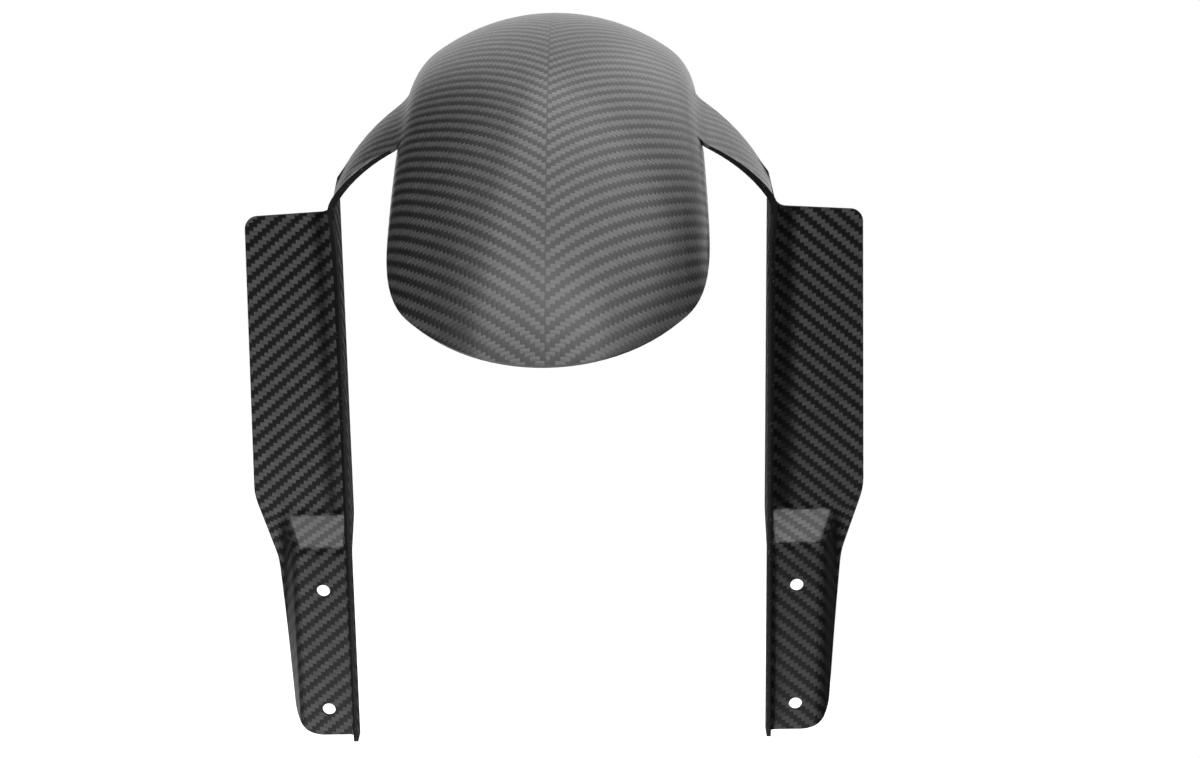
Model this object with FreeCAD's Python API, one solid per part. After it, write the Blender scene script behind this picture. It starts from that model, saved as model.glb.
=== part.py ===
import FreeCAD, Part
import math
import os
from FreeCAD import Vector

# Front mudguard of a motorbike: one carbon-fibre moulding of even thickness.
# A dome covers the tyre, and an arm leaves each side of it and turns down into a fork-guard leg.
# A leg is a flat panel with a flange along its inner edge and a stepped foot with two bolt holes.
# X is across the bike, the front faces -Y and +Z runs up the fork legs.
# The origin is the centre of the four bolt holes, on the faces that meet the fork.

os.makedirs("parts", exist_ok=True)

# Sizes are in millimetres and degrees.
# A half is measured from the middle of the bike, and a drop from the highest point of the crown.
WALL = 2.0

# The wheel that the dome covers, and where its axle lies from the bolt holes.
TYRE_RADIUS = 300.0
TYRE_GAP = 24.0
AXLE_BACK = 47.0
AXLE_DROP = 20.0

# The dome's cross-section: a wide crown arc with a tighter shoulder arc on each side.
CROWN_ARC = 100.0
CROWN_HALF = 57.5
SHOULDER_ARC = 29.0
SHOULDER_TURN = 88.0

# The front rim: it leaves the lip at the crown, dips a little and rises to the arm.
LIP_AHEAD = 47.5
DIP_AHEAD = 120.0
DIP_DROP = 85.2
DIP_ROUND = 700.0

# The rear rim rises straight to the tail at the crown.
TAIL_BEHIND = 19.0
TAIL_SLOPE = 8.5

# The arm's section: a root that blends into the shoulder, a long arc and a bend into the flange.
ARM_ROOT = 22.0
ARM_ARC = 98.0
ARM_BEND = 20.0
ARM_LEAN = 29.0
BEND_DROP = 77.0

# The front edge of the arm and flange in the side view.
NOTCH_AHEAD = 36.0
NOTCH_DROP = 50.4
ARM_SWEEP = 60.0
FLANGE_HALF = 102.0
FLANGE_DROP = 101.0
FLANGE_BACK = 3.5
FLANGE_FOOT_AHEAD = 13.0
FLANGE_TIP = 3.0
FLANGE_ROOT = 3.0

# The leg panel's outline in the front view.
PANEL_DROP = 86.5
PANEL_FALL = 2.4
PANEL_TOP_HALF = 148.0
PANEL_LOW_HALF = 150.8
PANEL_LOW = 77.0
FOOT_TOP_HALF = 140.2
FOOT_TOP = 43.5
FOOT_END_HALF = 133.8
FOOT_END = -45.5
PANEL_CORNER = 6.0
WAIST_OUT = 30.0
WAIST_IN = 40.0
FOOT_CORNER = 15.0

# The gusset that carries the panel's top edge on up the back of the arm.
GUSSET_FOOT_HALF = 106.6
GUSSET_HALF = 102.6
GUSSET_DROP = 69.8
GUSSET_END_HALF = 97.6
GUSSET_END_DROP = 63.0
GUSSET_ROUND = 6.0

# The step forward from the upper panel to the foot, and the foot's folded-back outer side.
STEP = 16.0
STEP_TOP = 67.0
STEP_RUN = 14.0
STEP_ROUND = 5.0
FOLD_HALF = 130.5
FOLD_FLARE = 8.0
FOLD_ROUND = 6.0

# The bolt holes in the feet.
BOLT_SPAN = 234.0
BOLT_RISE = 63.5
HOLE_D = 6.6

# How far the shapes that trim the moulding reach past it, and how far the rims run on behind an arm.
CLEAR = 120.0
RIM_PAST = 10.0

CROWN_RADIUS = TYRE_RADIUS + TYRE_GAP + WALL
CROWN_TOP = CROWN_RADIUS - AXLE_DROP
FLANGE_OUT = FLANGE_HALF + WALL
PANEL_BACK = STEP
PANEL_FRONT = STEP - WALL
PANEL_TOP = CROWN_TOP - PANEL_DROP
GUSSET_TOP = CROWN_TOP - GUSSET_DROP
GUSSET_END = CROWN_TOP - GUSSET_END_DROP
OVER = CROWN_TOP + CLEAR
UNDER = FOOT_END - CLEAR
BESIDE = PANEL_LOW_HALF + CLEAR
ACROSS = Vector(1, 0, 0)
BACK = Vector(0, 1, 0)
UP = Vector(0, 0, 1)
TINY = 0.001


def polar(centre, radius, angle):
    """A point of a circle in a flat pair of coordinates."""
    turn = math.radians(angle)
    return (centre[0] + radius * math.cos(turn), centre[1] + radius * math.sin(turn))


def toward(start, end):
    """The direction from one flat point to another, in degrees."""
    return math.degrees(math.atan2(end[1] - start[1], end[0] - start[0]))


def beyond(start, end, extra):
    """The point past the end of a line, by an extra length."""
    return polar(end, extra, toward(start, end))


def wheel_view(point):
    """A point of the section under the axle: across, and radius from the axle."""
    return Vector(point[0], AXLE_BACK, -AXLE_DROP - point[1])


def side_view(point):
    """A point of the side view: back and up."""
    return Vector(0, point[0], point[1])


def front_view(point):
    """A point of the front view: across and up."""
    return Vector(point[0], 0, point[1])


def top_view(point):
    """A point of the top view: across and back."""
    return Vector(point[0], point[1], 0)


def closed(edges):
    """The flat face inside a closed set of edges."""
    return Part.Face(Part.Wire(Part.__sortEdges__(edges)))


def outline(points, view):
    """A face with these corners in a view, where a third value is the radius that rounds a corner."""
    edges = []
    ends = []
    for i, point in enumerate(points):
        here = Vector(*point[:2])
        before = (Vector(*points[i - 1][:2]) - here).normalize()
        after = (Vector(*points[(i + 1) % len(points)][:2]) - here).normalize()
        radius = point[2] if len(point) > 2 else 0.0
        half = before.getAngle(after) / 2
        start = here + before * (radius / math.tan(half))
        stop = here + after * (radius / math.tan(half))
        ends.append((start, stop))
        if radius:
            middle = here + (before + after).normalize() * (radius / math.sin(half) - radius)
            edges.append(Part.Arc(view(start), view(middle), view(stop)).toShape())
    for i in range(len(ends)):
        edges.append(Part.makeLine(view(ends[i - 1][1]), view(ends[i][0])))
    return closed(edges)


# Centres of the arcs in the section through the axle.
CROWN_CENTRE = (0.0, CROWN_RADIUS - CROWN_ARC)
CROWN_END = math.degrees(math.acos(CROWN_HALF / CROWN_ARC))
SHOULDER_CENTRE = polar(CROWN_CENTRE, CROWN_ARC - SHOULDER_ARC, CROWN_END)
BEND_CENTRE = (FLANGE_OUT - ARM_BEND, CROWN_RADIUS - BEND_DROP)
ARM_CENTRE = polar(BEND_CENTRE, ARM_ARC - ARM_BEND, ARM_LEAN + 180)


def root_centre():
    """The centre of the root arc, which touches the shoulder and the arm from outside."""
    apart = math.dist(ARM_CENTRE, SHOULDER_CENTRE)
    to_arm = ARM_ARC + ARM_ROOT
    to_shoulder = SHOULDER_ARC + ARM_ROOT
    spread = math.acos((apart ** 2 + to_arm ** 2 - to_shoulder ** 2) / (2 * apart * to_arm))
    return polar(ARM_CENTRE, to_arm, toward(ARM_CENTRE, SHOULDER_CENTRE) - math.degrees(spread))


ROOT_CENTRE = root_centre()
ROOT_START = toward(SHOULDER_CENTRE, ROOT_CENTRE)
ROOT_END = toward(ARM_CENTRE, ROOT_CENTRE)


def dome_arcs():
    """The section of the dome's skin, from the left skirt over the crown to the right one."""
    left = (-SHOULDER_CENTRE[0], SHOULDER_CENTRE[1])
    return [
        (left, SHOULDER_ARC, 90 + SHOULDER_TURN, 180 - CROWN_END),
        (CROWN_CENTRE, CROWN_ARC, 180 - CROWN_END, CROWN_END),
        (SHOULDER_CENTRE, SHOULDER_ARC, CROWN_END, 90 - SHOULDER_TURN),
    ]


def skirt_arcs(inset):
    """The shoulder below the height of the arm's root, at a depth under the skin."""
    return [(SHOULDER_CENTRE, SHOULDER_ARC - inset, ROOT_START, 90 - SHOULDER_TURN)]


def arm_arcs(inset):
    """The section of the arm, from its root to the top of the flange."""
    return [
        (ROOT_CENTRE, ARM_ROOT + inset, ROOT_START + 180, ROOT_END + 180),
        (ARM_CENTRE, ARM_ARC - inset, ROOT_END, ARM_LEAN),
        (BEND_CENTRE, ARM_BEND - inset, ARM_LEAN, 0),
    ]


def chain(arcs):
    """The edges of a row of arcs, with the flat points where the row starts and ends."""
    edges = []
    for centre, radius, first, last in arcs:
        stops = (first, (first + last) / 2, last)
        edges.append(Part.Arc(*[wheel_view(polar(centre, radius, a)) for a in stops]).toShape())
    return edges, polar(*arcs[0][:3]), polar(*arcs[-1][:2], arcs[-1][3])


def turned(edges, *paths):
    """The solid that a closed section sweeps in one turn round the axle."""
    for path in paths:
        points = [wheel_view(p) for p in path]
        edges = edges + [Part.makeLine(p, q) for p, q in zip(points, points[1:])]
    return closed(edges).revolve(wheel_view((0, 0)), ACROSS, 360)


def sheet(arcs, spare=0.0, to_axle=False):
    """The wall under a row of arcs, with some spare on both of its sides."""
    outside, start, end = chain(arcs(-spare))
    inside, start_in, end_in = chain(arcs(WALL + spare))
    last = [end, (end[0], 0), (end_in[0], 0), end_in] if to_axle else [end, end_in]
    return turned(outside + inside, [start, start_in], last)


def under_arm(inset):
    """All that lies under the arm, at a depth under its skin."""
    edges, start, end = chain(arm_arcs(inset))
    return turned(edges, [end, (end[0], 0), (0, 0), (0, start[1]), start])


# Points of the side view: the dome's ends at the crown, and the corners of the arm's front edge.
AXLE = (AXLE_BACK, -AXLE_DROP)
LIP = polar(AXLE, CROWN_RADIUS, 90 + LIP_AHEAD)
TAIL = polar(AXLE, CROWN_RADIUS, 90 - TAIL_BEHIND)
DIP = (-DIP_AHEAD, CROWN_TOP - DIP_DROP)
NOTCH = (-NOTCH_AHEAD, CROWN_TOP - NOTCH_DROP)
FLANGE_BEND = (FLANGE_BACK, CROWN_TOP - FLANGE_DROP)
FLANGE_FOOT = (-FLANGE_FOOT_AHEAD, FOOT_END)
FRONT_RIM = [beyond(DIP, LIP, CLEAR), (*DIP, DIP_ROUND), beyond(DIP, NOTCH, RIM_PAST)]
REAR_REACH = (TAIL[0] - PANEL_BACK + RIM_PAST) / math.cos(math.radians(TAIL_SLOPE))
REAR_RIM = [polar(TAIL, REAR_REACH, TAIL_SLOPE + 180), polar(TAIL, CLEAR, TAIL_SLOPE)]
ARM_OVER = beyond(FLANGE_BEND, NOTCH, CLEAR)


def dome_slab():
    """The part of the side view that the dome fills, carried right across the bike."""
    over = [(REAR_RIM[-1][0], OVER), (FRONT_RIM[0][0], OVER)]
    slab = outline(FRONT_RIM + REAR_RIM + over, side_view)
    return slab.extrude(ACROSS * 2 * BESIDE).translated(ACROSS * -BESIDE)


def arm_slab():
    """The part of the side view that the arm and the flange fill."""
    front = [(*FLANGE_FOOT, FLANGE_TIP), (*FLANGE_BEND, ARM_SWEEP), NOTCH, ARM_OVER]
    back = [(ARM_OVER[0], OVER), (PANEL_BACK, OVER), (PANEL_BACK, FOOT_END)]
    return outline(front + back, side_view).extrude(ACROSS * BESIDE)


def panel_outline():
    """The front view of the leg panel, with its inner side hidden in the flange and arm."""
    hidden = FLANGE_HALF + WALL / 2
    points = [
        (hidden, FOOT_END),
        (FOOT_END_HALF, FOOT_END, FOOT_CORNER),
        (FOOT_TOP_HALF, FOOT_TOP, WAIST_IN),
        (PANEL_LOW_HALF, PANEL_LOW, WAIST_OUT),
        (PANEL_TOP_HALF, PANEL_TOP - PANEL_FALL, PANEL_CORNER),
        (GUSSET_FOOT_HALF, PANEL_TOP, GUSSET_ROUND),
        (GUSSET_HALF, GUSSET_TOP),
        (GUSSET_END_HALF, GUSSET_END),
        (GUSSET_END_HALF - ARM_BEND, GUSSET_END),
        (hidden, PANEL_TOP),
    ]
    return outline(points, front_view).extrude(BACK * 2 * CLEAR).translated(BACK * -CLEAR)


def on_skin(edge, shape):
    """Whether the middle of an edge lies on the skin of a shape."""
    middle = edge.valueAt((edge.FirstParameter + edge.LastParameter) / 2)
    return Part.Vertex(middle).distToShape(shape.Shells[0])[0] < TINY


def meets(edge, point):
    """Whether an edge starts or ends at a point."""
    return any(v.Point.distanceToPoint(point) < TINY for v in edge.Vertexes)


def former(inset):
    """The block that the front of a leg lies on, with each face at a depth under the skin."""
    pad = inset - WALL
    panel = inset + PANEL_FRONT
    deep = PANEL_BACK + CLEAR
    slope = STEP_RUN / STEP
    flare = FOLD_FLARE / STEP
    # The corner where two faces meet slides along the pad as both of them move in.
    rise = STEP_TOP - STEP_RUN - inset * math.tan(math.radians(45) - math.atan(slope) / 2)
    crease = FOLD_HALF - inset * math.tan(math.radians(45) - math.atan(flare) / 2)
    reach = deep - pad

    steps = outline([(pad, UNDER), (pad, rise), (deep, rise + slope * reach), (deep, UNDER)], side_view)
    folds = outline([(0, pad), (crease, pad), (crease + flare * reach, deep), (0, deep)], top_view)
    boss = folds.extrude(UP * (OVER - UNDER)).translated(UP * UNDER)
    boss = boss.common(steps.extrude(ACROSS * 2 * BESIDE))
    corner = Vector(crease, pad, rise)
    boss = boss.makeFillet(FOLD_ROUND - inset, [e for e in boss.Edges if meets(e, corner)])

    base = Part.makeBox(2 * BESIDE, CLEAR, OVER - UNDER, Vector(0, panel, UNDER))
    block = base.fuse(boss).removeSplitter()
    level = [e for e in block.Edges if max(abs(v.Y - panel) for v in e.Vertexes) < TINY]
    return block.makeFillet(STEP_ROUND + inset, [e for e in level if on_skin(e, boss)])


def both_sides(shape):
    """A shape of the right side, and the same shape on the left."""
    return [shape, shape.mirror(Vector(), ACROSS)]


def dome():
    """The dome, thickened inwards from its trimmed skin, so that its rim is cut square to the skin."""
    skin = Part.Wire(chain(dome_arcs())[0]).revolve(wheel_view((0, 0)), ACROSS, 360)
    trimmed = Part.Shell(skin.common(dome_slab()).Faces)
    gap = sheet(skirt_arcs, spare=WALL / 2).common(arm_slab())
    return trimmed.makeOffsetShape(-WALL, TINY, fill=True).cut(both_sides(gap))


def leg_half():
    """The right arm with its flange and leg panel."""
    front_block = former(0)
    back_block = former(WALL)
    arm_skin = under_arm(0)
    band = sheet(arm_arcs, to_axle=True).common(arm_slab()).cut(back_block)

    # The panel joins the arm oversize, so that the trim also cuts the rounded corner between them.
    room = Part.makeBox(BESIDE, 2 * CLEAR, GUSSET_END + WALL - UNDER, Vector(WALL, -CLEAR, UNDER))
    panel = front_block.cut(back_block).common(room).cut(under_arm(WALL / 2))
    joined = band.fuse(panel).removeSplitter()
    corner = [e for e in joined.Edges if on_skin(e, arm_skin) and on_skin(e, front_block)]
    leg = joined.makeFillet(FLANGE_ROOT, corner).common(panel_outline())
    return band.fuse(leg)


leg = leg_half()
for height in (-BOLT_RISE / 2, BOLT_RISE / 2):
    start = Vector(BOLT_SPAN / 2, -CLEAR, height)
    leg = leg.cut(Part.makeCylinder(HOLE_D / 2, 2 * CLEAR, start, BACK))
mudguard = dome().fuse(both_sides(leg)).removeSplitter()
mudguard.exportStep("parts/mudguard.step")
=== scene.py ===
import math

import bpy
from mathutils import Matrix, Vector, kdtree


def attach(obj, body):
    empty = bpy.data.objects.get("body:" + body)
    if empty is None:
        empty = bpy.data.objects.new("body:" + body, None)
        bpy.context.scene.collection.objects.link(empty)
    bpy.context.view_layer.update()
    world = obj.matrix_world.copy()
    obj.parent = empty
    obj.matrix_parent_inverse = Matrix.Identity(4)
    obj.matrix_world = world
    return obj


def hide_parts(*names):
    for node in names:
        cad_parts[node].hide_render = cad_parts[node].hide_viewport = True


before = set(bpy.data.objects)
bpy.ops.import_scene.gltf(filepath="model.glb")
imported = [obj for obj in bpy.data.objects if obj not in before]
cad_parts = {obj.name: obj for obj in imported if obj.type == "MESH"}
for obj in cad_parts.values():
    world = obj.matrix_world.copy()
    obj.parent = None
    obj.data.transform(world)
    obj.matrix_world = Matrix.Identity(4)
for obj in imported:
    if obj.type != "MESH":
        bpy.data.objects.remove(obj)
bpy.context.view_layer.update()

# Sizes are in metres and degrees, in the frame of the part: X across, front at -Y, Z up.
WALL = 0.002

# The dome is a section of arcs that is turned about the wheel's axle.
AXLE_BACK = 0.047
AXLE_DROP = 0.020
CROWN_RADIUS = 0.326
CROWN_ARC = 0.100
CROWN_HALF = 0.0575
SHOULDER_ARC = 0.029
SHOULDER_END = 2.0

# Each arm leaves the shoulder in a reverse curve and bends down into the flange of a leg.
ARM_ROOT = 0.022
ARM_ARC = 0.098
ARM_BEND = 0.020
ARM_LEAN = 29.0
BEND_DROP = 0.077

# Each leg has an inner flange, a flat panel, and a foot that steps forward and is folded back outside.
FLANGE_HALF = 0.102
FLANGE_OUT = FLANGE_HALF + WALL
STEP = 0.016
STEP_TOP = 0.067
STEP_RUN = 0.014
PAD_FRONT = -WALL
PANEL_FRONT = PAD_FRONT + STEP
FOLD_HALF = 0.1305
FOLD_FLARE = 0.008

# The section is sampled in short steps, and what lies this near to it belongs to the dome or an arm.
SAMPLE_STEP = 0.0004
NEAR_SKIN = WALL * 1.3

# Up to this far out, a face of a leg that looks sideways belongs to the flange.
NEAR_FLANGE = FLANGE_OUT + WALL / 4

# Faces are told apart by the share of their normal along the skin's normal, or along an axis on a leg.
SKIN_COSINE = 0.93
SIDEWAYS = 0.7
SQUARE_SIDE = 0.99
HALF_TURNED = 0.5
EDGE_ON = 0.02
BACKWARD = 0.2

# The front edge of the arms and flanges is built up outwards, from nothing at the dome and at the foot.
EDGE_BUILD = 0.0013
EDGE_START = 0.072
EDGE_FULL = 0.100
EDGE_BACK = 0.004
EDGE_FOOT_START = -0.02
EDGE_FOOT_FULL = 0.05
SAME_PLACE = 0.00005

# The twill: the width of a tow, the tows that a float passes over, and the halves' offset in tows.
TOW = 0.002
OVER = 2
HALF_SHIFT = 2.0

# Cross tows lean down towards the middle on a leg, and are pulled forward at the sides of the dome.
LEG_LEAN = math.tan(math.radians(7.0))
DRAPE_LEFT = 0.012
DRAPE_RIGHT = 0.018
DRAPE_END = 0.085

# Relief and tone of a float: its rise along its length, its spread of tone and the dark gaps beside it.
RELIEF = 0.0001
RELIEF_STRENGTH = 0.5
FLOAT_RISE = 0.6
FLOAT_SPREAD = 0.24
GAP_POWER = 8.0
GAP_SHADE = 0.4

# Fine lines along the fibres, as noise that is dense across a tow and drawn out along it.
FIBRES = 9.0
FIBRE_RUN = 0.4
FIBRE_SPREAD = 0.5
FIBRE_ROUGHNESS = 0.1
LONG_ROUGHER = 0.04
CROSS_SMOOTHER = 0.08
ANISOTROPY = 0.5
QUARTER_TURN = 0.25
COAT_ROUGHNESS = 0.2

# The cloth as it looks outside, under its coat, and bare on the inside; the light tone of its cross tows is
# in part a painted sheen.
OUTSIDE_LOOK = {"light": 0.10, "dark": 0.012, "gloss": 0.43, "roughness": 0.31, "coat": 0.22}
INSIDE_LOOK = {"light": 0.05, "dark": 0.012, "gloss": 0.1, "roughness": 0.7, "coat": 0.0}

# The seam down the middle of the dome, with widths in tows.
SEAM_LEAST = 0.05
SEAM_SPREAD = 0.3
SEAM_WANDER = 0.11
SEAM_SHADE = 0.6

# The folded side of a foot, and in part its front, take the plain dark tone without the weave and its
# painted sheen.
PLAIN_RUN = 0.003
PAD_PLAIN_SHARE = 0.25

# A hollow curve runs out from a flange's root into the panel, and a dark band of painted shade lies at its
# end.
ROOT_RUN = 0.008
ROOT_HEIGHT = 0.0028
ROOT_SHADE_START = 0.0055
ROOT_SHADE_END = 0.0115
ROOT_SHADE_SOFT = 0.0025
ROOT_SHADE_STRENGTH = 0.75

# The distance from a flange's root that is given to faces off the panel.
FAR_AWAY = 1.0

# The cut edge: black resin with pale specks; on the flanges below the arms its inner side is grey, and the
# black left on its outer side is painted shade of the hollow at the root.
GRAIN_SCALE = 900.0
SPECK_SCALE = 650.0
SPECK_LEVEL = 0.70
SPECK_TONE = 0.05
EDGE_TONE = 0.004
GRAIN_TONE = 0.016
INNER_EDGE_TONE = 0.022
INNER_EDGE_WIDTH = 0.0014
ARM_FOOT = 0.22
EDGE_ROUGHNESS = 0.5
GRAIN_ROUGHNESS = 0.2
GRAIN_RELIEF = 0.0002
GRAIN_STRENGTH = 0.4
EDGE_GLOSS = 0.08

# Material slots of the moulding.
OUTSIDE, INSIDE, CUT_EDGE = range(3)

# The floor lies below the feet, and the camera sees it a little below white before the lamps light it.
FLOOR_X = (-0.94, 0.25)
FLOOR_Y = (-1.2, 2.8)
FLOOR_Z = -0.5
FLOOR_GLOW = 0.94
FLOOR_GREY = (0.8, 0.8, 0.8, 1.0)
WHITE = (1.0, 1.0, 1.0, 1.0)

# The lit wall behind the object, as slopes from straight back, full at its foot and dimmer above.
WALL_LEFT = -0.37
WALL_LEFT_SOFT = 0.06
WALL_RIGHT = 0.85
WALL_RIGHT_SOFT = 0.45
WALL_LOW = -0.40
WALL_HIGH = 1.2
WALL_SOFT = 0.05
WALL_FOOT = 0.07
WALL_FOOT_SOFT = 0.12
WALL_DIM = 0.75
LEAST_AHEAD = 0.05
ROOM = 0.03

# The view of the photograph, 1200 by 758 pixels.
PHOTO_WIDTH = 1200
PHOTO_FOCAL = 2314.5
SENSOR = 36.0
CAMERA_PLACE = (0.02361, -1.07129, 0.44889)
CAMERA_PITCH = 16.158
CAMERA_YAW = -0.132
CAMERA_ROLL = 0.771


def polar(centre, radius, angle):
    """A point of a circle in a flat pair of coordinates."""
    turn = math.radians(angle)
    return (centre[0] + radius * math.cos(turn), centre[1] + radius * math.sin(turn))


def toward(start, end):
    """The direction from one flat point to another, in degrees."""
    return math.degrees(math.atan2(end[1] - start[1], end[0] - start[0]))


def ramp(value, start, end):
    """0 before the start, 1 past the end and a straight rise between them."""
    return min(max((value - start) / (end - start), 0.0), 1.0)


def side_of(point):
    """1 on the right of the middle and -1 on the left."""
    return math.copysign(1.0, point[0])


def section_arcs():
    """The arcs of the half section through the axle, as centre, radius, first and last angle."""
    crown = (0.0, CROWN_RADIUS - CROWN_ARC)
    crown_end = math.degrees(math.acos(CROWN_HALF / CROWN_ARC))
    shoulder = polar(crown, CROWN_ARC - SHOULDER_ARC, crown_end)
    bend = (FLANGE_OUT - ARM_BEND, CROWN_RADIUS - BEND_DROP)
    arm = polar(bend, ARM_ARC - ARM_BEND, ARM_LEAN + 180)
    apart = math.dist(arm, shoulder)
    to_arm = ARM_ARC + ARM_ROOT
    to_shoulder = SHOULDER_ARC + ARM_ROOT
    spread = math.acos((apart ** 2 + to_arm ** 2 - to_shoulder ** 2) / (2 * apart * to_arm))
    root = polar(arm, to_arm, toward(arm, shoulder) - math.degrees(spread))
    leave = toward(shoulder, root)
    join = toward(arm, root)
    cap = [(crown, CROWN_ARC, 90, crown_end), (shoulder, SHOULDER_ARC, crown_end, leave)]
    skirt = [(shoulder, SHOULDER_ARC, leave, SHOULDER_END)]
    limb = [
        (root, ARM_ROOT, leave + 180, join + 180),
        (arm, ARM_ARC, join, ARM_LEAN),
        (bend, ARM_BEND, ARM_LEAN, 0),
    ]
    return cap + skirt, cap + limb


def section_samples():
    """Points along the half section, each with its distance from the middle and its direction."""
    rows = []
    for arcs in section_arcs():
        gone = 0.0
        for centre, radius, first, last in arcs:
            length = radius * math.radians(abs(last - first))
            count = math.ceil(length / SAMPLE_STEP)
            way = 1 if last > first else -1
            for n in range(count + 1):
                angle = first + (last - first) * n / count
                turn = math.radians(angle)
                place = polar(centre, radius, angle)
                heading = (-way * math.sin(turn), way * math.cos(turn))
                rows.append((*place, gone + length * n / count, *heading))
            gone += length
    return rows


class Section:
    """Finds where a point lies along the section of the dome and arms."""

    def __init__(self):
        self.rows = section_samples()
        self.tree = kdtree.KDTree(len(self.rows))
        for n, row in enumerate(self.rows):
            self.tree.insert((row[0], row[1], 0.0), n)
        self.tree.balance()

    def place(self, point):
        """Distance from the skin, distance along the section, and the skin's normal at a point."""
        back = point[1] - AXLE_BACK
        up = point[2] + AXLE_DROP
        radius = math.hypot(back, up)
        _, n, gap = self.tree.find((abs(point[0]), radius, 0.0))
        x, r, gone, tx, tr = self.rows[n]
        along = gone + (abs(point[0]) - x) * tx + (radius - r) * tr
        normal = Vector((-tr * side_of(point), tx * back / radius, tx * up / radius))
        return gap, along, normal


def turn_about_axle(point):
    """How far a point is round the crown, towards the back."""
    return CROWN_RADIUS * math.atan2(point[1] - AXLE_BACK, point[2] + AXLE_DROP)


def drape(along, side):
    """How far the cloth is pulled forward at a distance from the middle of the dome."""
    most = DRAPE_RIGHT if side > 0 else DRAPE_LEFT
    return most * (1 - math.cos(math.pi * ramp(along, 0.0, DRAPE_END))) / 2


def dome_place(point, section):
    """Cloth coordinates of a point of the dome or an arm: across, and towards the back."""
    _, along, _ = section.place(point)
    return along, turn_about_axle(point) + drape(along, side_of(point))


def down_leg(height):
    """Distance along the leg's front, up over the step, from the height of a point."""
    low = STEP_TOP - STEP_RUN
    slope = math.hypot(STEP, STEP_RUN) / STEP_RUN
    return height + (slope - 1) * min(max(height - low, 0.0), STEP_RUN)


def leg_place(point, normal):
    """Cloth coordinates of a point of a leg: across, and down."""
    across = abs(point[0])
    if abs(normal[0]) > SIDEWAYS:
        if across < FLANGE_OUT + WALL:
            across = FLANGE_OUT - (PANEL_FRONT - point[1])
        else:
            across = FOLD_HALF + (point[1] - PAD_FRONT) * math.hypot(STEP, FOLD_FLARE) / STEP
    return across, LEG_LEAN * across - down_leg(point[2])


def plain_share(point):
    """How far a point takes the plain dark tone in place of the weave and its painted sheen: the folded
    side of a foot, and in part its front.
    """
    folded = ramp(abs(point[0]), FOLD_HALF - PLAIN_RUN, FOLD_HALF + PLAIN_RUN)
    folded *= ramp(PANEL_FRONT - point[1], 0.0, PLAIN_RUN) * ramp(STEP_TOP - point[2], 0.0, PLAIN_RUN)
    front = PAD_PLAIN_SHARE * ramp(STEP_TOP - STEP_RUN - point[2], 0.0, PLAIN_RUN)
    return max(folded, front)


def is_leg_edge(centre, normal):
    """Whether a face of a leg is a cut edge and not the skin."""
    out = abs(centre[0])
    sideways = abs(normal[0])
    if out < FLANGE_OUT and sideways < HALF_TURNED:
        return centre[1] < PANEL_FRONT
    flange_skin = sideways > SQUARE_SIDE and out < NEAR_FLANGE
    return abs(normal[1]) < EDGE_ON and not flange_skin


def is_leg_inside(centre, normal):
    """Whether a face of a leg is on the side that faces the wheel and the fork."""
    if abs(centre[0]) < NEAR_FLANGE and abs(normal[0]) > SIDEWAYS:
        return centre[0] * normal[0] < 0
    return normal[1] > BACKWARD


def sort_face(face, section):
    """Whether a face is on the dome or an arm, whether it is part of their rim, and its material slot."""
    gap, _, skin = section.place(face.center)
    on_dome = gap < NEAR_SKIN
    if on_dome:
        facing = face.normal.dot(skin)
        rim = abs(facing) < SKIN_COSINE
        edge = rim and abs(face.center[0]) > EDGE_START
        inside = facing < -SKIN_COSINE
    else:
        rim = False
        edge = is_leg_edge(face.center, face.normal)
        inside = is_leg_inside(face.center, face.normal)
    return on_dome, rim, CUT_EDGE if edge else INSIDE if inside else OUTSIDE


def corner_key(place):
    """A place as whole steps, the same for all corners that meet there."""
    return tuple(round(c / SAME_PLACE) for c in place)


def build_up_front_edge(mesh, section):
    """Moves the outer corner of the front edge of the arms and flanges outwards."""
    corners = set()
    for face in mesh.polygons:
        forward = face.normal[1] < -HALF_TURNED and face.center[1] < EDGE_BACK
        if forward and face.material_index == CUT_EDGE:
            corners.update(corner_key(mesh.vertices[n].co) for n in face.vertices)
    for vertex in mesh.vertices:
        place = vertex.co
        if corner_key(place) not in corners:
            continue
        out = abs(place[0])
        gap, _, skin = section.place(place)
        if abs(out - FLANGE_OUT) < SAME_PLACE:
            skin = Vector((side_of(place), 0.0, 0.0))
        elif gap > WALL / 2:
            continue
        share = ramp(out, EDGE_START, EDGE_FULL) * ramp(place[2], EDGE_FOOT_START, EDGE_FOOT_FULL)
        vertex.co = place + skin * EDGE_BUILD * share


def dress(mesh):
    """Gives a mesh of the moulding its cloth coordinates and materials."""
    section = Section()
    mesh.uv_layers.new(name="weave")
    mesh.attributes.new("plain", "FLOAT", "CORNER")
    mesh.attributes.new("from_root", "FLOAT", "CORNER")
    weave = mesh.uv_layers["weave"].data
    plain = mesh.attributes["plain"].data
    from_root = mesh.attributes["from_root"].data
    for face in mesh.polygons:
        on_dome, rim, face.material_index = sort_face(face, section)
        on_panel = not on_dome and face.center[2] > STEP_TOP and abs(face.center[0]) > FLANGE_OUT
        for loop in face.loop_indices:
            point = mesh.vertices[mesh.loops[loop].vertex_index].co
            if on_dome:
                across, down = dome_place(point, section)
                plain[loop].value = float(rim)
            else:
                across, down = leg_place(point, face.normal)
                plain[loop].value = plain_share(point)
            from_root[loop].value = abs(point[0]) - FLANGE_OUT if on_panel else FAR_AWAY
            weave[loop].uv = (side_of(point) * across / TOW, down / TOW)
    build_up_front_edge(mesh, section)


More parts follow.
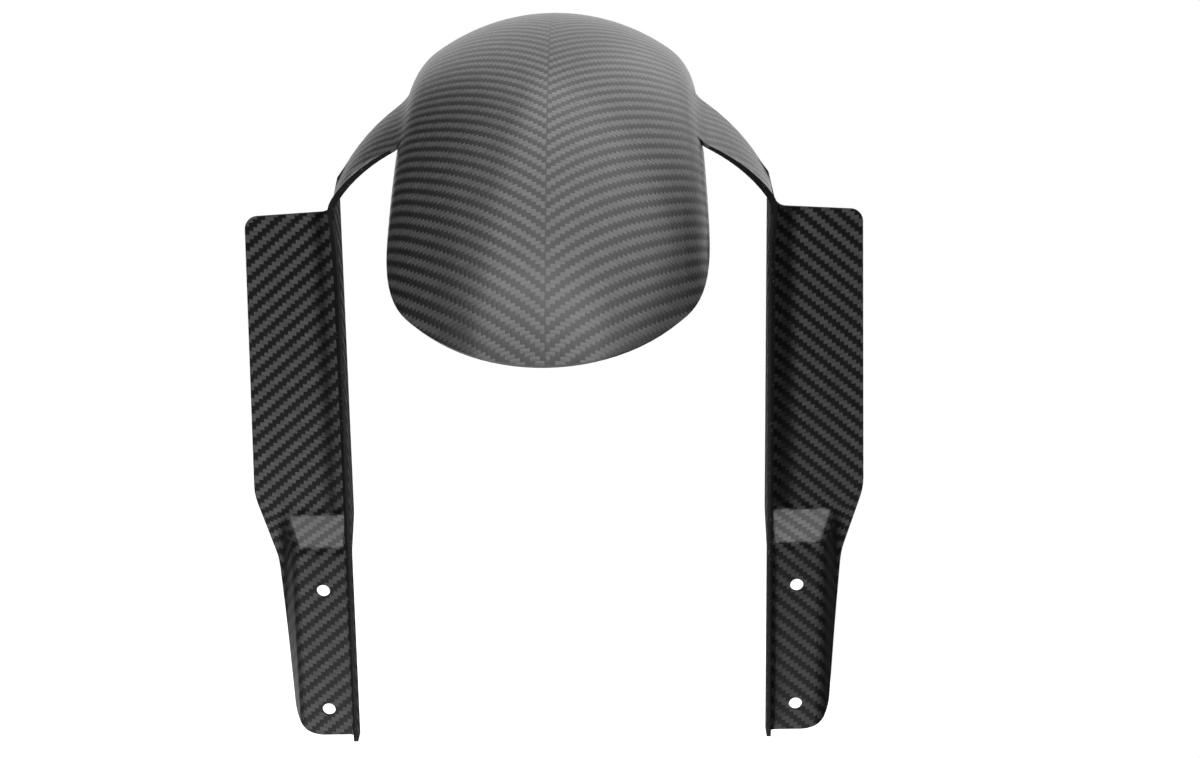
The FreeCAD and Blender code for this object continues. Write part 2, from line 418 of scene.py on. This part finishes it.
class Graph:
    """Writes a node tree as plain sums."""

    def __init__(self, tree):
        self.tree = tree
        tree.nodes.clear()

    def node(self, kind, **inputs):
        """A new node, with some of its inputs fed."""
        made = self.tree.nodes.new(kind)
        for name, value in inputs.items():
            self.feed(made.inputs[name], value)
        return made

    def feed(self, socket, value):
        """Links a socket to another one, or sets it to a constant."""
        if isinstance(value, bpy.types.NodeSocket):
            self.tree.links.new(value, socket)
        else:
            socket.default_value = value

    def show(self, kind, shader):
        """Ends the tree with an output that shows a shader."""
        self.feed(self.node(kind).inputs[0], shader.outputs[0])

    def math(self, operation, *values):
        """One step of arithmetic."""
        made = self.tree.nodes.new("ShaderNodeMath")
        made.operation = operation
        for n, value in enumerate(values):
            self.feed(made.inputs[n], value)
        return made.outputs[0]

    def product(self, *values):
        """Several values multiplied."""
        total = values[0]
        for value in values[1:]:
            total = self.math("MULTIPLY", total, value)
        return total

    def blend(self, share, first, second):
        """First where share is 0, second where it is 1."""
        made = self.tree.nodes.new("ShaderNodeMix")
        self.feed(made.inputs[0], share)
        self.feed(made.inputs[2], first)
        self.feed(made.inputs[3], second)
        return made.outputs[0]

    def vary(self, value, spread):
        """Turns a value from 0 to 1 into a factor that spreads evenly about 1."""
        return self.math("MULTIPLY_ADD", value, spread, 1 - spread / 2)

    def darken(self, tone, share, strength):
        """A tone that loses a part of its strength where share is 1."""
        return self.math("MULTIPLY", tone, self.math("MULTIPLY_ADD", share, -strength, 1.0))

    def slope(self, value, start, end):
        """0 at the start, 1 at the end, a straight rise between them and level outside."""
        made = self.tree.nodes.new("ShaderNodeMapRange")
        for n, fed in enumerate((value, start, end)):
            self.feed(made.inputs[n], fed)
        return made.outputs[0]

    def past(self, value, limit, soft):
        """1 past a limit and 0 before it, with a soft side."""
        return self.slope(value, limit - soft, limit + soft)

    def before(self, value, limit, soft):
        """1 before a limit and 0 past it, with a soft side."""
        return self.slope(value, limit + soft, limit - soft)

    def band(self, value, low, high, soft):
        """1 between two limits and 0 outside them, with soft sides."""
        return self.math("MULTIPLY", self.past(value, low, soft), self.before(value, high, soft))

    def vector(self, x, y):
        """A vector with two parts."""
        made = self.tree.nodes.new("ShaderNodeCombineXYZ")
        self.feed(made.inputs[0], x)
        self.feed(made.inputs[1], y)
        return made.outputs[0]

    def parts(self, vector):
        """The three parts of a vector."""
        return self.node("ShaderNodeSeparateXYZ", Vector=vector).outputs

    def grey(self, value):
        """A grey colour."""
        made = self.tree.nodes.new("ShaderNodeCombineColor")
        for n in range(3):
            self.feed(made.inputs[n], value)
        return made.outputs[0]

    def noise(self, place, scale, detail, dimensions="3D"):
        """Smooth noise from 0 to 1."""
        made = self.node("ShaderNodeTexNoise", Vector=place, Scale=scale, Detail=detail)
        made.noise_dimensions = dimensions
        return made.outputs[0]

    def attribute(self, name):
        """A value that the mesh carries."""
        made = self.tree.nodes.new("ShaderNodeAttribute")
        made.attribute_name = name
        return made.outputs["Fac"]


class Twill:
    """The cloth at each place: the tow that lies on top there, and where on that tow the place is."""

    def __init__(self, g):
        uv = g.node("ShaderNodeUVMap")
        uv.uv_map = "weave"
        signed, self.down, _ = g.parts(uv.outputs[0])
        right = g.math("GREATER_THAN", signed, 0.0)
        self.u = g.math("ABSOLUTE", signed)
        self.v = g.math("MULTIPLY_ADD", right, HALF_SHIFT, self.down)
        column = g.math("FLOOR", self.u)
        row = g.math("FLOOR", self.v)
        step = g.math("FLOORED_MODULO", g.math("SUBTRACT", row, column), 2 * OVER)
        self.cross = g.math("LESS_THAN", step, OVER - 0.5)
        long = g.math("SUBTRACT", 1.0, self.cross)

        # Whole tows from the start of the float to the place, for a cross tow and for a long one.
        cross_gone = g.math("SUBTRACT", OVER - 1, step)
        long_gone = g.math("SUBTRACT", step, OVER)
        start_u = g.math("SUBTRACT", column, g.math("MULTIPLY", self.cross, cross_gone))
        start_v = g.math("SUBTRACT", row, g.math("MULTIPLY", long, long_gone))
        self.start = g.vector(start_u, start_v)

        # Place along the float, from 0 to 1, and distance from the middle of its tow, 1 at the side.
        in_u = g.math("FRACT", self.u)
        in_v = g.math("FRACT", self.v)
        cross_along = g.math("MULTIPLY", g.math("ADD", in_u, cross_gone), 1 / OVER)
        long_along = g.math("MULTIPLY", g.math("ADD", in_v, long_gone), 1 / OVER)
        self.along = g.blend(self.cross, long_along, cross_along)
        across = g.blend(self.cross, in_u, in_v)
        self.side = g.math("ABSOLUTE", g.math("MULTIPLY_ADD", across, 2.0, -1.0))


def tow_height(g, cloth):
    """Relief of the cloth: each float is round across its tow and rises along its length."""
    crown = g.math("SUBTRACT", 1.0, g.math("POWER", cloth.side, 2.0))
    rise = g.math("SINE", g.math("MULTIPLY", cloth.along, math.pi))
    return g.math("MULTIPLY", crown, g.math("MULTIPLY_ADD", rise, FLOAT_RISE, 1 - FLOAT_RISE))


def fibre_lines(g, cloth):
    """Fine lines that run along the fibres of the tow on top."""
    across = g.math("MULTIPLY", cloth.u, g.blend(cloth.cross, FIBRES, FIBRE_RUN))
    down = g.math("MULTIPLY", cloth.v, g.blend(cloth.cross, FIBRE_RUN, FIBRES))
    return g.noise(g.vector(across, down), scale=1.0, detail=2.0, dimensions="2D")


def tow_tone(g, cloth, fibres):
    """How light the cloth is: each float differs a little, has fine lines and is dark at its sides."""
    spot = g.node("ShaderNodeTexWhiteNoise", Vector=cloth.start)
    spot.noise_dimensions = "2D"
    tone = g.math("MULTIPLY", g.vary(spot.outputs["Value"], FLOAT_SPREAD), g.vary(fibres, FIBRE_SPREAD))
    return g.darken(tone, g.math("POWER", cloth.side, GAP_POWER), GAP_SHADE)


def seam_share(g, cloth):
    """The seam down the middle of the dome, whose width wanders a little."""
    wander = g.noise(g.vector(0.0, cloth.down), SEAM_WANDER, detail=1.0, dimensions="2D")
    return g.math("LESS_THAN", cloth.u, g.math("MULTIPLY_ADD", wander, SEAM_SPREAD, SEAM_LEAST))


def root_hollow(g, from_root):
    """Height of the wide hollow curve in which the flange's root runs out into the panel."""
    short = g.math("MAXIMUM", g.math("SUBTRACT", ROOT_RUN, from_root), 0.0)
    return g.product(short, short, ROOT_HEIGHT / ROOT_RUN ** 2)


def new_material(name):
    """An empty material, its graph and its shader."""
    made = bpy.data.materials.new(name)
    made.use_nodes = True
    g = Graph(made.node_tree)
    shader = g.node("ShaderNodeBsdfPrincipled")
    g.show("ShaderNodeOutputMaterial", shader)
    return made, g, shader


def carbon(name, light, dark, gloss, roughness, coat):
    """Twill cloth under a satin coat: cross tows show light, in part as a painted sheen, and long tows
    dark.
    """
    made, g, shader = new_material(name)
    cloth = Twill(g)
    fibres = fibre_lines(g, cloth)
    plain_mask = g.attribute("plain")
    from_root = g.attribute("from_root")

    tone = g.darken(tow_tone(g, cloth, fibres), seam_share(g, cloth), SEAM_SHADE)
    # A band of painted shade darkens the weave near a flange's root.
    tone = g.darken(tone, g.band(from_root, ROOT_SHADE_START, ROOT_SHADE_END, ROOT_SHADE_SOFT), ROOT_SHADE_STRENGTH)
    # The cross tows take the light tone, in part a painted sheen that stands in for the gleam of their
    # fibres.
    woven = g.math("MULTIPLY", g.blend(cloth.cross, dark, light), tone)
    g.feed(shader.inputs["Base Color"], g.grey(g.blend(plain_mask, woven, dark)))

    rough = g.blend(cloth.cross, roughness + LONG_ROUGHER, roughness - CROSS_SMOOTHER)
    rough = g.math("MULTIPLY_ADD", fibres, FIBRE_ROUGHNESS, rough)
    g.feed(shader.inputs["Roughness"], g.blend(plain_mask, rough, roughness))

    height = g.math("MULTIPLY", tow_height(g, cloth), g.math("SUBTRACT", 1.0, plain_mask))
    bump = g.node("ShaderNodeBump", Height=height, Distance=RELIEF, Strength=RELIEF_STRENGTH)
    root = g.node("ShaderNodeBump", Height=root_hollow(g, from_root), Distance=1.0, Strength=1.0)
    g.feed(bump.inputs["Normal"], root.outputs[0])
    g.feed(shader.inputs["Normal"], bump.outputs[0])

    # The gloss is drawn out across the fibres of the tow on top.
    tangent = g.node("ShaderNodeTangent")
    tangent.direction_type = "UV_MAP"
    tangent.uv_map = "weave"
    g.feed(shader.inputs["Tangent"], tangent.outputs[0])
    g.feed(shader.inputs["Anisotropic"], ANISOTROPY)
    g.feed(shader.inputs["Anisotropic Rotation"], g.math("MULTIPLY", cloth.cross, QUARTER_TURN))
    g.feed(shader.inputs["Specular IOR Level"], gloss)
    g.feed(shader.inputs["Coat Weight"], coat)
    g.feed(shader.inputs["Coat Roughness"], COAT_ROUGHNESS)
    return made


def cut_edge():
    """The trimmed edge of the laminate: dull black resin, grey on the inner side of the flanges, with
    painted shade on their outer side.
    """
    made, g, shader = new_material("cut_edge")
    place = g.node("ShaderNodeTexCoord").outputs["Object"]
    grain = g.noise(place, GRAIN_SCALE, detail=3.0)
    speck = g.math("GREATER_THAN", g.noise(place, SPECK_SCALE, detail=1.0), SPECK_LEVEL)
    x, _, z = g.parts(place)
    # Below the arms the inner side of a flange's edge is grey; the black left on its outer side is painted
    # shade of the root's hollow.
    inner = g.band(g.math("ABSOLUTE", x), FLANGE_HALF - WALL, FLANGE_HALF + INNER_EDGE_WIDTH, INNER_EDGE_WIDTH / 4)
    grey_inner_edge = g.math("MULTIPLY", inner, g.math("LESS_THAN", z, ARM_FOOT))
    tone = g.math("MULTIPLY_ADD", grain, GRAIN_TONE, EDGE_TONE)
    tone = g.math("MULTIPLY_ADD", speck, SPECK_TONE, tone)
    tone = g.math("MULTIPLY_ADD", grey_inner_edge, INNER_EDGE_TONE, tone)
    g.feed(shader.inputs["Base Color"], g.grey(tone))
    g.feed(shader.inputs["Roughness"], g.math("MULTIPLY_ADD", grain, GRAIN_ROUGHNESS, EDGE_ROUGHNESS))
    bump = g.node("ShaderNodeBump", Height=grain, Distance=GRAIN_RELIEF, Strength=GRAIN_STRENGTH)
    g.feed(shader.inputs["Normal"], bump.outputs[0])
    g.feed(shader.inputs["Specular IOR Level"], EDGE_GLOSS)
    return made


def moulding():
    """The whole moulding, dressed in cloth, in place of the plain solid."""
    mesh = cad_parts["mudguard"].data.copy()
    mesh.materials.clear()
    mesh.materials.append(carbon("carbon_outside", **OUTSIDE_LOOK))
    mesh.materials.append(carbon("carbon_inside", **INSIDE_LOOK))
    mesh.materials.append(cut_edge())
    dress(mesh)
    piece = bpy.data.objects.new("carbon_mudguard", mesh)
    bpy.context.scene.collection.objects.link(piece)
    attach(piece, "root")
    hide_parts("mudguard")


def backdrop():
    """A world that is white to the camera, with a lit wall behind the object and a dim room round it."""
    world = bpy.data.worlds.new("studio")
    bpy.context.scene.world = world
    world.use_nodes = True
    g = Graph(world.node_tree)
    ray = g.node("ShaderNodeLightPath").outputs
    x, y, z = g.parts(g.node("ShaderNodeTexCoord").outputs["Generated"])
    ahead = g.math("MAXIMUM", y, LEAST_AHEAD)
    aside = g.math("DIVIDE", x, ahead)
    up = g.math("DIVIDE", z, ahead)
    wall = g.product(
        g.past(aside, WALL_LEFT, WALL_LEFT_SOFT),
        g.before(aside, WALL_RIGHT, WALL_RIGHT_SOFT),
        g.band(up, WALL_LOW, WALL_HIGH, WALL_SOFT),
        g.math("GREATER_THAN", y, LEAST_AHEAD),
        g.blend(g.before(up, WALL_FOOT, WALL_FOOT_SOFT), WALL_DIM, 1.0),
    )
    room = g.math("MAXIMUM", g.math("MULTIPLY", wall, ray["Is Glossy Ray"]), ROOM)
    seen = g.math("MAXIMUM", ray["Is Camera Ray"], ray["Is Transmission Ray"])
    sky = g.node("ShaderNodeBackground", Color=WHITE, Strength=g.blend(seen, room, 1.0))
    g.show("ShaderNodeOutputWorld", sky)


def floor_white():
    """Pale and matt, white in reflections, and white to the camera apart from the object's faint shadow."""
    made = bpy.data.materials.new("floor_white")
    made.use_nodes = True
    g = Graph(made.node_tree)
    ray = g.node("ShaderNodeLightPath").outputs
    matt = g.node("ShaderNodeBsdfDiffuse", Color=FLOOR_GREY)
    glow = g.node("ShaderNodeEmission", Strength=g.math("MULTIPLY", ray["Is Camera Ray"], FLOOR_GLOW))
    lit = g.node("ShaderNodeAddShader")
    g.feed(lit.inputs[0], matt.outputs[0])
    g.feed(lit.inputs[1], glow.outputs[0])
    white = g.node("ShaderNodeEmission", Strength=1.0)
    mirrored = g.math("MAXIMUM", ray["Is Glossy Ray"], ray["Is Transmission Ray"])
    mix = g.node("ShaderNodeMixShader", Fac=mirrored)
    g.feed(mix.inputs[1], lit.outputs[0])
    g.feed(mix.inputs[2], white.outputs[0])
    g.show("ShaderNodeOutputMaterial", mix)
    return made


def floor():
    """A flat floor below the feet."""
    corners = [(FLOOR_X[i], FLOOR_Y[j], FLOOR_Z) for i, j in ((0, 0), (1, 0), (1, 1), (0, 1))]
    mesh = bpy.data.meshes.new("floor")
    mesh.from_pydata(corners, [], [(0, 1, 2, 3)])
    mesh.materials.append(floor_white())
    plane = bpy.data.objects.new("floor", mesh)
    bpy.context.scene.collection.objects.link(plane)


def softbox(name, place, aim, size, watts, mirrored=True):
    """A large lamp that points at a place, and may be left out of reflections."""
    lamp = bpy.data.lights.new(name, "AREA")
    lamp.shape = "RECTANGLE"
    lamp.size, lamp.size_y = size
    lamp.energy = watts
    made = bpy.data.objects.new(name, lamp)
    made.location = place
    made.rotation_euler = (Vector(aim) - Vector(place)).to_track_quat("-Z", "Y").to_euler()
    made.visible_camera = False
    made.visible_glossy = mirrored
    bpy.context.scene.collection.objects.link(made)


def lamps():
    """Soft light from above, strongest on the right, a weak lamp behind, and fills that leave no gleam."""
    softbox("key", place=(0.34, 0.15, 1.35), aim=(0.32, 0.1, 0.3), size=(1.42, 1.3), watts=11.9)
    softbox("key_side", place=(-0.6, 0.15, 1.35), aim=(-0.6, 0.1, 0.3), size=(0.5, 1.3), watts=0.8)
    softbox("strip", place=(-0.08, -0.45, 1.3), aim=(-0.03, -0.15, 0.2), size=(1.2, 0.5), watts=5.5)
    softbox("rear", place=(0.7, 1.3, 1.1), aim=(0.0, 0.0, 0.25), size=(0.9, 0.9), watts=1.2)
    low = (-0.3, -0.75, -0.3)
    softbox("fill", place=low, aim=(-0.1, 0.0, 0.1), size=(0.45, 0.45), watts=4.0, mirrored=False)
    for name, x in (("back_left", -0.9), ("back_right", 0.9)):
        back = (x, 1.0, 0.0)
        softbox(name, place=back, aim=(0.0, 0.0, 0.1), size=(0.8, 0.8), watts=6.0, mirrored=False)


def studio():
    """The floor, the room and the lamps."""
    bpy.context.scene.view_settings.view_transform = "Standard"
    backdrop()
    floor()
    lamps()


def camera():
    """The photograph's camera."""
    data = bpy.data.cameras.new("camera")
    data.sensor_width = SENSOR
    data.lens = PHOTO_FOCAL / PHOTO_WIDTH * SENSOR
    made = bpy.data.objects.new("camera", data)
    turn = Matrix.Rotation(math.radians(-CAMERA_YAW), 4, "Z")
    tilt = Matrix.Rotation(math.radians(90 - CAMERA_PITCH), 4, "X")
    roll = Matrix.Rotation(math.radians(-CAMERA_ROLL), 4, "Z")
    made.matrix_world = Matrix.Translation(CAMERA_PLACE) @ turn @ tilt @ roll
    bpy.context.scene.collection.objects.link(made)
    bpy.context.scene.camera = made


moulding()
studio()
camera()
